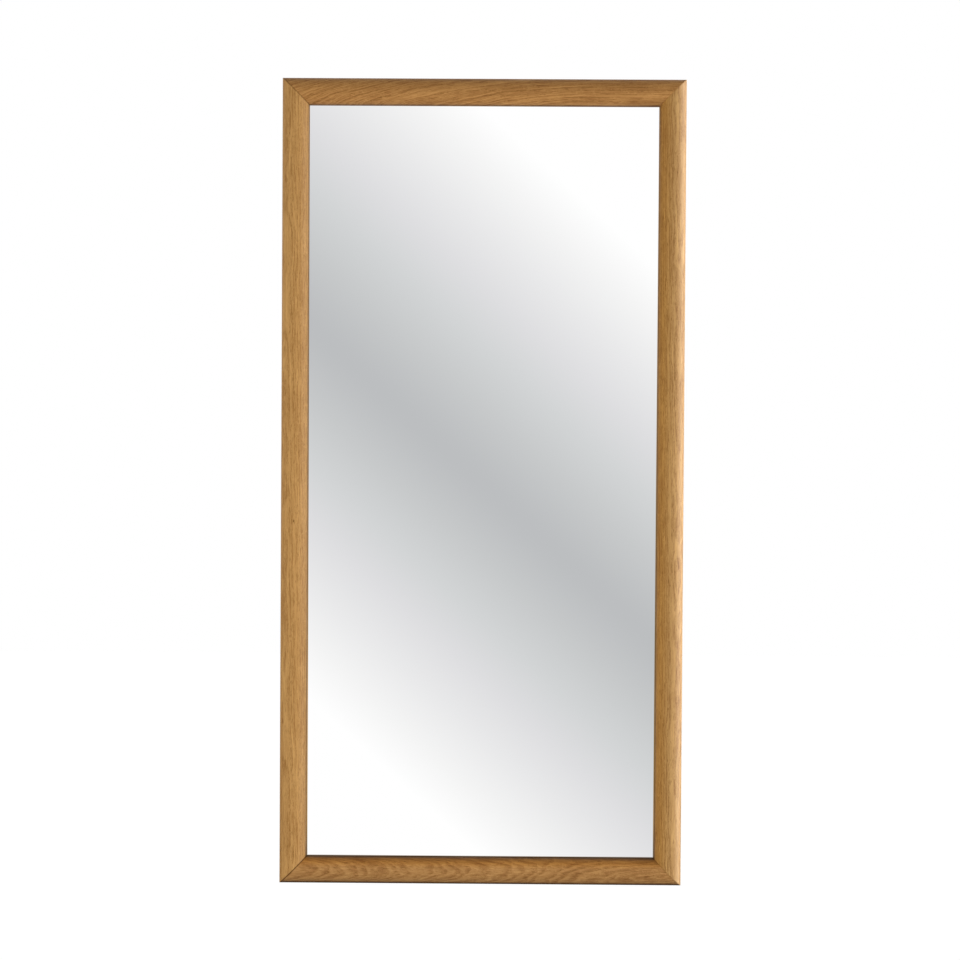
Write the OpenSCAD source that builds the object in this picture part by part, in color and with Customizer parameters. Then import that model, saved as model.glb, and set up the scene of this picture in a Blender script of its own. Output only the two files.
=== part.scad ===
// Wall mirror: a round-faced oak moulding, mitred at the corners, holds a flat silvered glass.
// X runs to the right, Y runs back to the wall and Z runs up. The origin lies on the wall, behind
// the middle of the glass, and the mirror faces -Y.

/* [Frame] */
// Width of the frame over its outer edges
frame_w = 600; // [440:10:900]
// Height of the frame over its outer edges
frame_h = 1200; // [900:10:1800]
// Width of the moulding across its face
mould_w = 40; // [40:1:56]
// Height of the rounded face above its straight sides
crown_rise = 18; // [14:0.5:20]
// Thickness of the lip at the sight edge
lip_t = 2.2; // [1.5:0.1:5]
// Width of the rebate behind the lip
rebate_w = 8; // [7:0.5:10]

/* [Corner joints] */
// Length of a corner biscuit
biscuit_l = 42; // [30:1:44]
// Width of a corner biscuit
biscuit_w = 15; // [12:0.5:18]
// Thickness of a corner biscuit
biscuit_t = 4; // [3:0.5:5]
// Cut off the pointed ends of a biscuit, at each end
biscuit_trim = 2; // [1:0.5:3]
// Wood between the straight side of the moulding and the biscuit, through the depth
biscuit_over = 1; // [0.5:0.5:3]
// Glue space round a biscuit
biscuit_clear = 0.1; // [0.05:0.05:0.3]
// Width of a V-nail over its two legs
nail_w = 10; // [6:1:12]
// Thickness of a V-nail's steel
nail_t = 0.6; // [0.4:0.1:1]
// Length of a V-nail, driven into the wood
nail_h = 6.5; // [5:0.5:7]
// Depth that a V-nail is sunk below the back of the frame
nail_sink = 0.3; // [0.1:0.1:0.6]
// Distance of the outer V-nail from the outer corner, along the mitre
nail_outer = 16; // [12:1:18]
// Distance from the outer to the inner V-nail, along the mitre
nail_pitch = 16; // [13:1:18]

/* [Glass and back] */
// Thickness of the glass
glass_t = 4; // [3:1:6]
// Thickness of the backing board
board_t = 3; // [2.5:0.5:4]
// Gap round the backing board
board_clear = 1; // [0.5:0.5:2]
// Depth of the backing board below the back of the frame
board_sink = 0.3; // [0.1:0.1:0.6]
// Thickness of the tape under the lip
tape_t = 0.5; // [0.3:0.1:1]
// Distance of the tape from the sight edge
tape_back = 1; // [0.5:0.5:2]
// Thickness of an edge block, between the glass and the rebate
block_t = 2; // [1:0.5:3]
// Length of an edge block
block_l = 40; // [20:5:60]
// Distance from a corner of the frame to the middle of an edge block
block_in = 130; // [90:5:160]

/* [Turn buttons] */
// Width of a turn button
button_w = 12; // [10:1:14]
// Thickness of a turn button
button_t = 1.2; // [0.8:0.1:1.6]
// Length of a turn button that lies over the board
button_lap = 12; // [10:1:16]
// Play above and below a turn button
button_play = 0.2; // [0.1:0.05:0.3]
// Distance from the top or bottom of the frame to a stile's outer turn buttons
button_in = 180; // [150:10:210]

/* [Hangers] */
// Width of a hanger's strap
strap_w = 10; // [9:0.5:11]
// Thickness of a hanger's strap
strap_t = 1.2; // [1:0.1:1.5]
// Length of a hanger's strap, from the ring's bar to its round end
strap_l = 44; // [40:1:50]
// Radius of a ring's wire
wire_r = 1.25; // [1:0.05:1.4]
// Radius of a ring's round bow, to the middle of its wire
bow_r = 9; // [8.5:0.5:10]
// Radius of the bend at each end of a ring's bar
bend_r = 3; // [2:0.5:3]
// Length of a ring's straight leg
leg_l = 2; // [1:0.5:3]
// Gap between a folded ring and its strap
ring_gap = 0.3; // [0.2:0.1:0.5]
// Play of a ring's bar in its knuckle
knuckle_play = 0.07; // [0.03:0.01:0.1]
// Distance from the ring's bar to the first screw
strap_screw_a = 22; // [20:0.5:24]
// Distance from the ring's bar to the second screw
strap_screw_b = 36; // [32:0.5:37]
// Distance from the top of the frame to the bar of the rings that hang it upright
upright_drop = 300; // [260:10:340]
// Distance from the left of the frame to the bar of the rings that hang it lengthwise
length_drop = 150; // [120:5:155]

/* [Screws] */
// Radius of a screw's shank
shank_r = 1.5; // [1.2:0.1:1.75]
// Length of a screw under its head
screw_l = 14; // [10:1:16]
// Length of a screw's point
point_l = 3; // [2:0.5:4]
// Radius of a screw's head
head_r = 3.2; // [3:0.1:3.5]
// Height of a screw's head
head_h = 1.8; // [1.5:0.1:2.2]
// Height of the straight edge of a screw's head
head_edge = 0.6; // [0.4:0.1:0.8]
// Length of the cross recess in a screw's head
cross_l = 3.4; // [2.6:0.2:3.8]
// Width of the cross recess
cross_w = 0.8; // [0.6:0.1:1]
// Depth of the cross recess
cross_d = 1; // [0.6:0.1:1.2]
// Play of a shank in a turn button
pivot_play = 0.08; // [0.03:0.01:0.1]
// Play of a shank in a strap
strap_play = 0.3; // [0.1:0.1:0.5]

/* [Bumpers] */
// Height of a bumper, which is the gap between the frame and the wall
bumper_h = 6; // [5.9:0.1:10]
// Radius of a bumper where it is stuck to the frame
bumper_r = 9; // [7:0.5:11]
// Amount by which a bumper's radius gets smaller towards the wall
bumper_taper = 1.5; // [0:0.5:3]
// Distance from the top or bottom of the frame to the middle of a bumper
bumper_in = 70; // [60:5:80]

/* [Hidden] */
$fn = 72;

// Overlap of a cutting shape past the face that it cuts
cut = 1;
// Play of a screw or nail in the wood that it is driven into
wood_play = 0.02;
// Room past the point of a screw
point_room = 0.5;

// Depths, measured forward from the back of the frame
glass_back = board_sink + board_t;
glass_front = glass_back + glass_t;
rebate_d = glass_front + tape_t;
side_h = rebate_d + lip_t;
back_y = -bumper_h;

// The round face is an arc through both edges of the moulding and the top of the crown
crown_r = (pow(mould_w / 2, 2) + pow(crown_rise, 2)) / (2 * crown_rise);

// Distances across a member, measured outward from its sight edge
glass_edge = rebate_w - block_t;
board_edge = rebate_w - board_clear;
land_mid = (rebate_w + mould_w) / 2;

// Distance from the middle of a stile to its outer turn buttons
button_up = frame_h / 2 - button_in;

// Half sizes of the sight opening
sight_x = frame_w / 2 - mould_w;
sight_z = frame_h / 2 - mould_w;

// The four members in order: top, right, bottom, left
TOP = 0;
RIGHT = 1;
BOTTOM = 2;
LEFT = 3;
side_turn = [0, 90, 180, -90];
side_sight = [sight_z, sight_x, sight_z, sight_x];
side_l = [frame_w, frame_h, frame_w, frame_h];

// The four corners: side of X, side of Z and turn of the mitre
TOP_LEFT = [-1, 1, -45];
TOP_RIGHT = [1, 1, 45];
BOTTOM_RIGHT = [1, -1, 135];
BOTTOM_LEFT = [-1, -1, -135];
CORNERS = [TOP_LEFT, TOP_RIGHT, BOTTOM_RIGHT, BOTTOM_LEFT];

// Each turn button: its member and its place along it
BUTTON_LEFT_TOP = [LEFT, button_up];
BUTTON_LEFT_MIDDLE = [LEFT, 0];
BUTTON_LEFT_BOTTOM = [LEFT, -button_up];
BUTTON_RIGHT_TOP = [RIGHT, -button_up];
BUTTON_RIGHT_MIDDLE = [RIGHT, 0];
BUTTON_RIGHT_BOTTOM = [RIGHT, button_up];
BUTTON_TOP = [TOP, 0];
BUTTON_BOTTOM = [BOTTOM, 0];
BUTTONS = [
    BUTTON_LEFT_TOP, BUTTON_LEFT_MIDDLE, BUTTON_LEFT_BOTTOM,
    BUTTON_RIGHT_TOP, BUTTON_RIGHT_MIDDLE, BUTTON_RIGHT_BOTTOM,
    BUTTON_TOP, BUTTON_BOTTOM
];

// Each hanger: X and Z of its bar and its turn
hang_x = frame_w / 2 - (mould_w - rebate_w) / 2;
hang_z = frame_h / 2 - (mould_w - rebate_w) / 2;
HANGER_LEFT = [-hang_x, frame_h / 2 - upright_drop, 0];
HANGER_RIGHT = [hang_x, frame_h / 2 - upright_drop, 0];
HANGER_TOP = [length_drop - frame_w / 2, hang_z, -90];
HANGER_BOTTOM = [length_drop - frame_w / 2, -hang_z, -90];
HANGERS = [HANGER_LEFT, HANGER_RIGHT, HANGER_TOP, HANGER_BOTTOM];

// Turn button: distance from its pivot to the middle of its round tip
button_arm = land_mid - rebate_w + button_lap - button_w / 2;

// Hanger: radii of the knuckle and the height of the bar over the back of the frame
knuckle_in = wire_r + knuckle_play;
knuckle_out = knuckle_in + strap_t;
bar_y = strap_t + ring_gap + wire_r;

// The dome of a screw's head is an arc through its edge and its top
dome_rise = head_h - head_edge;
dome_r = (pow(head_r, 2) + pow(dome_rise, 2)) / (2 * dome_rise);

// Colours
oak_light = "#b38750";
oak_warm = "#a57645";
beech = "#d2b48c";
steel = "#9aa0a6";
brassed = "#b59a5b";
silver = "#d4dadd";
felt = "#4a3f36";
rubber = "#2b2b2d";
hardboard = "#8a6a4a";

// Places its children on a member: X along it, Z outward from its sight edge
module on_side(side) {
    rotate([0, side_turn[side], 0])
        translate([0, 0, side_sight[side]])
            children();
}

// Places its children at a corner: Z outward along the mitre, X across the joint
module at_corner(corner) {
    translate([corner[0] * frame_w / 2, 0, corner[1] * frame_h / 2])
        rotate([0, corner[2], 0])
            children();
}

// Places its children on the back of the frame at a turn button's pivot
module at_button(button) {
    on_side(button[0])
        translate([button[1], back_y, land_mid])
            children();
}

// Places its children on the back of the frame at a ring's bar
module at_hanger(hanger) {
    translate([hanger[0], back_y, hanger[1]])
        rotate([0, hanger[2], 0])
            children();
}

// Cylinder along Y, from y = 0 towards the wall
module peg(r, h) {
    rotate([-90, 0, 0])
        cylinder(r = r, h = h);
}

// Cross-section of the moulding: X outward from the sight edge, Y forward from the back
module moulding_section() {
    difference() {
        union() {
            square([mould_w, side_h]);
            intersection() {
                translate([mould_w / 2, side_h + crown_rise - crown_r])
                    circle(r = crown_r);
                translate([0, side_h])
                    square([mould_w, crown_rise + cut]);
            }
        }
        translate([-cut, -cut])
            square([rebate_w + cut, rebate_d + cut]);
    }
}

// Lens of a biscuit in the plane of the frame, its long way along Z
module biscuit_lens(grow) {
    half_l = biscuit_l / 2 + biscuit_trim;
    lens_r = (pow(half_l, 2) + pow(biscuit_w / 2, 2)) / biscuit_w;
    shift = lens_r - biscuit_w / 2;
    t = biscuit_t + 2 * grow;
    intersection() {
        translate([shift, -t / 2, 0])
            peg(lens_r + grow, t);
        translate([-shift, -t / 2, 0])
            peg(lens_r + grow, t);
        cube([biscuit_w + 2 * cut, t + cut, biscuit_l + 2 * grow], center = true);
    }
}

// Biscuit in the middle of a mitre, as wood or, grown, as the slot that it sits in
module corner_biscuit(corner, grow = 0) {
    mid = back_y - side_h - biscuit_over - biscuit_t / 2;
    at_corner(corner)
        translate([0, mid, -mould_w * sqrt(2) / 2])
            biscuit_lens(grow);
}

// One V-nail from one depth to another: its point lies on the mitre, a leg in each member
module v_nail(grow, from, to) {
    low = nail_w / 2 + grow;
    tip = grow * sqrt(2);
    skin = (nail_t + 2 * grow) * sqrt(2);
    rotate([90, 0, 0])
        translate([0, 0, from])
            linear_extrude(height = to - from)
                polygon([
                    [0, tip], [tip + low, -low], [tip + low - skin, -low],
                    [0, tip - skin], [skin - tip - low, -low], [-tip - low, -low]
                ]);
}

// The two V-nails of a corner
module nails_at(corner, grow, from, to) {
    for (along = [nail_outer, nail_outer + nail_pitch])
        at_corner(corner)
            translate([0, back_y, -along])
                v_nail(grow, from, to);
}

// Pilot hole for a screw, from the back of the frame forward
module pilot_hole(length) {
    translate([0, cut, 0])
        rotate([90, 0, 0])
            cylinder(r = shank_r + wood_play, h = length + cut + point_room);
}

// Length of shank in the wood, under a turn button and under a strap
button_screw_in = screw_l - button_t - 2 * button_play;
strap_screw_in = screw_l - strap_t;

// All pilot holes in the back of the frame
module pilot_holes() {
    for (button = BUTTONS)
        at_button(button)
            pilot_hole(button_screw_in);
    for (hanger = HANGERS, drop = [strap_screw_a, strap_screw_b])
        at_hanger(hanger)
            translate([0, 0, -drop])
                pilot_hole(strap_screw_in);
}

// One member of the frame, cut at 45 degrees at both ends and machined for its fittings
module member(side) {
    half_l = side_l[side] / 2;
    difference() {
        on_side(side)
            intersection() {
                translate([0, back_y, 0])
                    rotate([180, -90, 0])
                        linear_extrude(height = side_l[side], center = true)
                            moulding_section();
                rotate([90, 0, 0])
                    linear_extrude(height = 2 * (bumper_h + side_h + crown_rise), center = true)
                        polygon([
                            [-half_l, mould_w], [half_l, mould_w],
                            [half_l - mould_w, 0], [mould_w - half_l, 0]
                        ]);
            }
        for (corner = CORNERS) {
            corner_biscuit(corner, biscuit_clear);
            nails_at(corner, wood_play, -cut, nail_sink + nail_h + wood_play);
        }
        pilot_holes();
    }
}

module left_stile() {
    color(oak_light)
        member(LEFT);
}

module right_stile() {
    color(oak_light)
        member(RIGHT);
}

module top_rail() {
    color(oak_warm)
        member(TOP);
}

module bottom_rail() {
    color(oak_warm)
        member(BOTTOM);
}

module biscuit(corner) {
    color(beech)
        corner_biscuit(corner);
}

module corner_v_nails() {
    color(steel)
        for (corner = CORNERS)
            nails_at(corner, 0, nail_sink, nail_sink + nail_h);
}

// Flat sheet in the rebate, from one depth to another, reaching a distance past the sight edge
module rebate_sheet(reach, from, to) {
    translate([-sight_x - reach, back_y - to, -sight_z - reach])
        cube([2 * (sight_x + reach), to - from, 2 * (sight_z + reach)]);
}

module mirror_glass() {
    color(silver)
        rebate_sheet(glass_edge, glass_back, glass_front);
}

module backing_board() {
    color(hardboard)
        rebate_sheet(board_edge, board_sink, glass_back);
}

// Strip of tape behind the lip: full length on the rails, between those two on the stiles
module glass_tape(side) {
    over = (side == TOP || side == BOTTOM) ? glass_edge : tape_back;
    half_l = side_l[side] / 2 - mould_w + over;
    color(felt)
        on_side(side)
            translate([-half_l, back_y - rebate_d, tape_back])
                cube([2 * half_l, tape_t, glass_edge - tape_back]);
}

module glass_edge_blocks() {
    color(rubber)
        for (side = [TOP, RIGHT, BOTTOM, LEFT], end = [-1, 1])
            on_side(side)
                translate([
                    end * (side_l[side] / 2 - block_in) - block_l / 2,
                    back_y - glass_front,
                    glass_edge
                ])
                    cube([block_l, glass_t, block_t]);
}

// Flat steel button with round ends and a hole for its screw; its arm lies over the board
module turn_button(button) {
    color(steel)
        at_button(button)
            translate([0, button_play, 0])
                difference() {
                    union() {
                        peg(button_w / 2, button_t);
                        translate([0, 0, -button_arm])
                            peg(button_w / 2, button_t);
                        translate([-button_w / 2, 0, -button_arm])
                            cube([button_w, button_t, button_arm]);
                    }
                    translate([0, -cut, 0])
                        peg(shank_r + pivot_play, button_t + 2 * cut);
                }
}

// Pan-head screw with a cross recess: its head stands on y = 0 and its shank runs forward
module wood_screw() {
    difference() {
        union() {
            intersection() {
                peg(head_r, head_h);
                translate([0, head_h - dome_r, 0])
                    sphere(r = dome_r);
            }
            rotate([90, 0, 0])
                cylinder(r = shank_r, h = screw_l - point_l);
            translate([0, point_l - screw_l, 0])
                rotate([90, 0, 0])
                    cylinder(r1 = shank_r, r2 = 0, h = point_l);
        }
        for (turn = [0, 90])
            rotate([0, turn, 0])
                translate([-cross_l / 2, head_h - cross_d, -cross_w / 2])
                    cube([cross_l, cross_d + cut, cross_w]);
    }
}

module turn_button_screws() {
    color(brassed)
        for (button = BUTTONS)
            at_button(button)
                translate([0, button_t + 2 * button_play, 0])
                    wood_screw();
}

// Strap of a hanger: a plate along -Z, a knuckle round the ring's bar and two screw holes
module hanger_plate(hanger) {
    color(steel)
        at_hanger(hanger)
            difference() {
                union() {
                    translate([-strap_w / 2, 0, strap_w / 2 - strap_l])
                        cube([strap_w, strap_t, strap_l - strap_w / 2]);
                    translate([0, 0, strap_w / 2 - strap_l])
                        peg(strap_w / 2, strap_t);
                    translate([-strap_w / 2, bar_y, 0])
                        rotate([0, 90, 0])
                            cylinder(r = knuckle_out, h = strap_w);
                }
                translate([-strap_w / 2 - cut, bar_y, 0])
                    rotate([0, 90, 0])
                        cylinder(r = knuckle_in, h = strap_w + 2 * cut);
                for (drop = [strap_screw_a, strap_screw_b])
                    translate([0, -cut, -drop])
                        peg(shank_r + strap_play, strap_t + 2 * cut);
            }
}

// Length of wire along X
module wire_x(length) {
    rotate([0, 90, 0])
        cylinder(r = wire_r, h = length, center = true);
}

// Bend of wire in the plane of X and Z, from angle 0 up to the given angle, about the origin
module wire_bend(r, angle) {
    rotate([90, 0, 0])
        rotate_extrude(angle = angle)
            translate([r, 0])
                circle(r = wire_r);
}

// D ring, hanging from its bar: bar, two bends, two legs and a round bow
module hanger_ring(hanger) {
    color(steel)
        at_hanger(hanger)
            translate([0, bar_y, 0]) {
                wire_x(2 * (bow_r - bend_r));
                translate([bow_r - bend_r, 0, -bend_r])
                    wire_bend(bend_r, 90);
                translate([bend_r - bow_r, 0, -bend_r])
                    rotate([0, -90, 0])
                        wire_bend(bend_r, 90);
                for (side = [-1, 1])
                    translate([side * bow_r, 0, -bend_r - leg_l])
                        cylinder(r = wire_r, h = leg_l);
                translate([0, 0, -bend_r - leg_l])
                    rotate([0, 180, 0])
                        wire_bend(bow_r, 180);
            }
}

module hanger_screws() {
    color(brassed)
        for (hanger = HANGERS, drop = [strap_screw_a, strap_screw_b])
            at_hanger(hanger)
                translate([0, strap_t, -drop])
                    wood_screw();
}

// Rubber bumper on the back of a stile, near a corner, up to the wall
module wall_bumper(corner) {
    color(rubber)
        translate([corner[0] * hang_x, back_y, corner[1] * (frame_h / 2 - bumper_in)])
            rotate([-90, 0, 0])
                cylinder(r1 = bumper_r, r2 = bumper_r - bumper_taper, h = bumper_h);
}

left_stile();
right_stile();
top_rail();
bottom_rail();
biscuit(TOP_LEFT);  // corner_biscuit_top_left
biscuit(TOP_RIGHT);  // corner_biscuit_top_right
biscuit(BOTTOM_RIGHT);  // corner_biscuit_bottom_right
biscuit(BOTTOM_LEFT);  // corner_biscuit_bottom_left
corner_v_nails();
mirror_glass();
glass_tape(TOP);  // glass_tape_top
glass_tape(RIGHT);  // glass_tape_right
glass_tape(BOTTOM);  // glass_tape_bottom
glass_tape(LEFT);  // glass_tape_left
glass_edge_blocks();
backing_board();
turn_button(BUTTON_LEFT_TOP);  // turn_button_left_top
turn_button(BUTTON_LEFT_MIDDLE);  // turn_button_left_middle
turn_button(BUTTON_LEFT_BOTTOM);  // turn_button_left_bottom
turn_button(BUTTON_RIGHT_TOP);  // turn_button_right_top
turn_button(BUTTON_RIGHT_MIDDLE);  // turn_button_right_middle
turn_button(BUTTON_RIGHT_BOTTOM);  // turn_button_right_bottom
turn_button(BUTTON_TOP);  // turn_button_top
turn_button(BUTTON_BOTTOM);  // turn_button_bottom
turn_button_screws();
hanger_plate(HANGER_LEFT);  // hanger_plate_left
hanger_plate(HANGER_RIGHT);  // hanger_plate_right
hanger_plate(HANGER_TOP);  // hanger_plate_top
hanger_plate(HANGER_BOTTOM);  // hanger_plate_bottom
hanger_ring(HANGER_LEFT);  // hanger_ring_left
hanger_ring(HANGER_RIGHT);  // hanger_ring_right
hanger_ring(HANGER_TOP);  // hanger_ring_top
hanger_ring(HANGER_BOTTOM);  // hanger_ring_bottom
hanger_screws();
wall_bumper(TOP_LEFT);  // wall_bumper_top_left
wall_bumper(TOP_RIGHT);  // wall_bumper_top_right
wall_bumper(BOTTOM_RIGHT);  // wall_bumper_bottom_right
wall_bumper(BOTTOM_LEFT);  // wall_bumper_bottom_left
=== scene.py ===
import math

import bmesh
import bpy
from mathutils import Matrix, Vector


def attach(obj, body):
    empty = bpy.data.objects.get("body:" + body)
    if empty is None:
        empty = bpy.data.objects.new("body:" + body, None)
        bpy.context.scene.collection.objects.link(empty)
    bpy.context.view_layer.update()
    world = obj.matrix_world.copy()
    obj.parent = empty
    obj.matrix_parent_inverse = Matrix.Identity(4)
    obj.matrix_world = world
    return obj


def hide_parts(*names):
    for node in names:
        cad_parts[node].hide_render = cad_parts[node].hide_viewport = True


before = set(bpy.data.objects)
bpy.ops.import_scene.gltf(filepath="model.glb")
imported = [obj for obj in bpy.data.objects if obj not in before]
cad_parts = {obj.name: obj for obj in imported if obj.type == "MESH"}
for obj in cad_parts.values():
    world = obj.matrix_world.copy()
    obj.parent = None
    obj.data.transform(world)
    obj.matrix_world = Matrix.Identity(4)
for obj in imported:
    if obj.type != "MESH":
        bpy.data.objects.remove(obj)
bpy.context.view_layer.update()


# ---- The camera
# It stands in front of the mirror, a little above and to the right of its middle, and looks at it
# almost squarely through a long lens. Its turn, dip and roll are in degrees.
CAMERA_PLACE = (0.0253, -3.5, 0.0815)
CAMERA_TURN = 0.4710
CAMERA_DIP = 1.2703
CAMERA_ROLL = 0.3504
FILM_W = 36
LENS = 87.70

bpy.ops.object.select_all(action="DESELECT")
bpy.ops.object.camera_add(location=CAMERA_PLACE)
camera = bpy.context.object
camera.name = "camera"
camera.data.sensor_width = FILM_W
camera.data.lens = LENS
turned = (
    Matrix.Rotation(math.radians(CAMERA_TURN), 4, "Z")
    @ Matrix.Rotation(math.radians(90 - CAMERA_DIP), 4, "X")
    @ Matrix.Rotation(math.radians(CAMERA_ROLL), 4, "Z")
)
camera.matrix_world = Matrix.Translation(CAMERA_PLACE) @ turned
bpy.context.scene.camera = camera
bpy.context.scene.view_settings.view_transform = "Standard"


# ---- The moulding
# Solid oak, run through a spindle moulder to a half-round face with straight sides and a rebate
# behind the sight edge. Four lengths are cut at 45 degrees, glued with biscuits and sanded, with
# the sharp arrises just taken off, and finished with a satin lacquer.

# A millimetre in metres, the unit of every length of a piece
MM = 0.001

FRAME_W = 600 * MM
FRAME_H = 1200 * MM
FACE_W = 40 * MM
CROWN = 18 * MM
SIDE = 10 * MM
LIP = 2.2 * MM
REBATE_W = 8 * MM
BACK_Y = -6 * MM
SANDED = 0.05 * MM
ARRIS = 0.3 * MM
ARRIS_STEPS = 2
CIRCLE_POINTS = 128
SLOT_OPEN = 1 * MM
SLOT_SLACK = 0.05 * MM
NEAR = 0.01 * MM
MERGE = 0.001 * MM
IN_LINE = math.radians(0.5)
ROUNDED = math.radians(25)
ROUND_R = ((FACE_W / 2) ** 2 + CROWN**2) / (2 * CROWN)
ROUND_Y = BACK_Y - SIDE - CROWN + ROUND_R
SIDE_Y = BACK_Y - SIDE
LIP_Y = SIDE_Y + LIP


def take(piece):
    """Selects this object alone and makes it the active one."""
    bpy.ops.object.select_all(action="DESELECT")
    piece.select_set(True)
    bpy.context.view_layer.objects.active = piece


def pick(piece, kind, wanted):
    """In edit mode, selects the vertices, edges or faces whose vertices are all wanted."""
    mesh = bmesh.from_edit_mesh(piece.data)
    for vert in mesh.verts:
        vert.select_set(False)
    mesh.select_flush(False)
    for part in getattr(mesh, kind):
        if all(wanted(vert.co) for vert in getattr(part, "verts", [part])):
            part.select_set(True)
    bmesh.update_edit_mesh(piece.data)


def finish_with(piece, kind, **settings):
    """Adds a modifier with these settings and applies it."""
    modifier = piece.modifiers.new(kind.lower(), kind)
    for setting, value in settings.items():
        setattr(modifier, setting, value)
    take(piece)
    bpy.ops.object.modifier_apply(modifier=modifier.name)


def nail_slot_cutter():
    """The V-nails' own shape, let through the back and a hair wider, to cut their slots."""
    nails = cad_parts["corner_v_nails"]
    cutter = bpy.data.objects.new("nail_slots", nails.data.copy())
    bpy.context.scene.collection.objects.link(cutter)
    take(cutter)
    bpy.ops.object.mode_set(mode="EDIT")
    bpy.ops.mesh.select_all(action="SELECT")
    bpy.ops.mesh.remove_doubles(threshold=MERGE)
    bpy.ops.mesh.select_mode(type="FACE")
    pick(cutter, "faces", lambda co: co.y > BACK_Y - SLOT_OPEN / 2)
    bpy.ops.transform.translate(value=(0, SLOT_OPEN, 0))
    bpy.ops.object.mode_set(mode="OBJECT")
    finish_with(cutter, "DISPLACE", strength=SLOT_SLACK, mid_level=0)
    return cutter


def settle(piece):
    """Lists a mesh's faces in a fixed order, so that a cut made in it is the same in every run."""
    mesh = piece.data
    corners = [vert.co.copy() for vert in mesh.vertices]
    faces = []
    for face in mesh.polygons:
        loop = list(face.vertices)
        first = loop.index(min(loop))
        faces.append(loop[first:] + loop[:first])
    mesh.clear_geometry()
    mesh.from_pydata(corners, [], sorted(faces))


def mould(name, length, reach, turn):
    """One member, made along X with its outer edge at the given reach and turned into place. Its
    ends are mitred by sliding each vertex along the length."""
    sight = reach - FACE_W
    bpy.ops.object.select_all(action="DESELECT")
    bpy.ops.mesh.primitive_circle_add(
        vertices=CIRCLE_POINTS,
        radius=ROUND_R - SANDED,
        fill_type="NGON",
        rotation=(0, math.pi / 2, 0),
        location=(-length / 2, ROUND_Y, reach - FACE_W / 2),
    )
    piece = bpy.context.object
    piece.name = name
    bpy.ops.object.transform_apply(location=True, rotation=True, scale=True)

    # The round face, its straight sides and the rebate
    bpy.ops.object.mode_set(mode="EDIT")
    bpy.ops.mesh.select_all(action="SELECT")
    bpy.ops.mesh.bisect(plane_co=(0, SIDE_Y, 0), plane_no=(0, 1, 0), clear_outer=True)
    bpy.ops.mesh.select_mode(type="EDGE")
    pick(piece, "edges", lambda co: co.y > SIDE_Y - NEAR)
    bpy.ops.mesh.extrude_edges_move(TRANSFORM_OT_translate={"value": (0, SIDE, 0)})
    bpy.ops.mesh.select_mode(type="FACE")
    for plane_co, plane_no in (
        ((0, LIP_Y, 0), (0, 1, 0)),
        ((0, 0, sight + REBATE_W), (0, 0, 1)),
    ):
        bpy.ops.mesh.select_all(action="SELECT")
        bpy.ops.mesh.bisect(plane_co=plane_co, plane_no=plane_no)
    pick(piece, "faces", lambda co: co.y > LIP_Y - NEAR and co.z < sight + REBATE_W + NEAR)
    bpy.ops.mesh.delete(type="FACE")
    bpy.ops.mesh.select_all(action="SELECT")
    bpy.ops.mesh.dissolve_limited(angle_limit=IN_LINE)

    # The arrises of the lip and the back
    bpy.ops.mesh.select_mode(type="VERT")
    pick(piece, "verts", lambda co: co.y > (LIP_Y if co.z < sight + NEAR else BACK_Y) - NEAR)
    bpy.ops.mesh.bevel(affect="VERTICES", offset=ARRIS, segments=ARRIS_STEPS)

    # The length, with its mitres and nail slots
    bpy.ops.mesh.select_all(action="SELECT")
    bpy.ops.mesh.extrude_region_move(TRANSFORM_OT_translate={"value": (length, 0, 0)})
    bpy.ops.mesh.select_all(action="SELECT")
    bpy.ops.mesh.normals_make_consistent(inside=False)
    bpy.ops.object.mode_set(mode="OBJECT")
    for vert in piece.data.vertices:
        vert.co.x = math.copysign(length / 2 - reach + vert.co.z, vert.co.x)
    piece.data.transform(Matrix.Rotation(math.radians(turn), 4, "Y"))
    settle(piece)
    finish_with(piece, "BOOLEAN", object=nail_slots, operation="DIFFERENCE", solver="EXACT")
    bpy.ops.object.mode_set(mode="EDIT")
    bpy.ops.mesh.select_all(action="SELECT")
    bpy.ops.mesh.remove_doubles(threshold=MERGE)
    bpy.ops.object.mode_set(mode="OBJECT")
    bpy.ops.object.shade_smooth_by_angle(angle=ROUNDED)
    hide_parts(name.replace("oak_", ""))
    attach(piece, "frame")
    return piece


nail_slots = nail_slot_cutter()
left_stile = mould("oak_left_stile", FRAME_H, FRAME_W / 2, -90)
right_stile = mould("oak_right_stile", FRAME_H, FRAME_W / 2, 90)
top_rail = mould("oak_top_rail", FRAME_W, FRAME_H / 2, 0)
bottom_rail = mould("oak_bottom_rail", FRAME_W, FRAME_H / 2, 180)
bpy.data.objects.remove(nail_slots)


# The wood is flat-sawn European oak: dark bands of open pores where each year's wood begins,
# paler rays across them, and fine fibres along the length.
def colour(code):
    """A colour written as #rrggbb, in the linear form that a shader takes."""
    channels = [int(code[i : i + 2], 16) / 255 for i in (1, 3, 5)]
    return [
        c / 12.92 if c <= 0.04045 else ((c + 0.055) / 1.055) ** 2.4 for c in channels
    ] + [1.0]


def put(tree, kind, settings=None, sockets=None):
    """Adds a node. A socket given another node's output is linked, any other is set."""
    node = tree.nodes.new(kind)
    for setting, value in (settings or {}).items():
        setattr(node, setting, value)
    for key, value in (sockets or {}).items():
        if isinstance(value, bpy.types.NodeSocket):
            tree.links.new(value, node.inputs[key])
        else:
            node.inputs[key].default_value = value
    return node


def sums(tree, operation, *values):
    """A Math node's result."""
    return put(tree, "ShaderNodeMath", {"operation": operation}, dict(enumerate(values))).outputs[0]


def vectors(tree, operation, *values):
    """A Vector Math node's result."""
    node = put(tree, "ShaderNodeVectorMath", {"operation": operation}, dict(enumerate(values)))
    return node.outputs["Value" if operation in ("LENGTH", "DOT_PRODUCT") else "Vector"]


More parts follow.
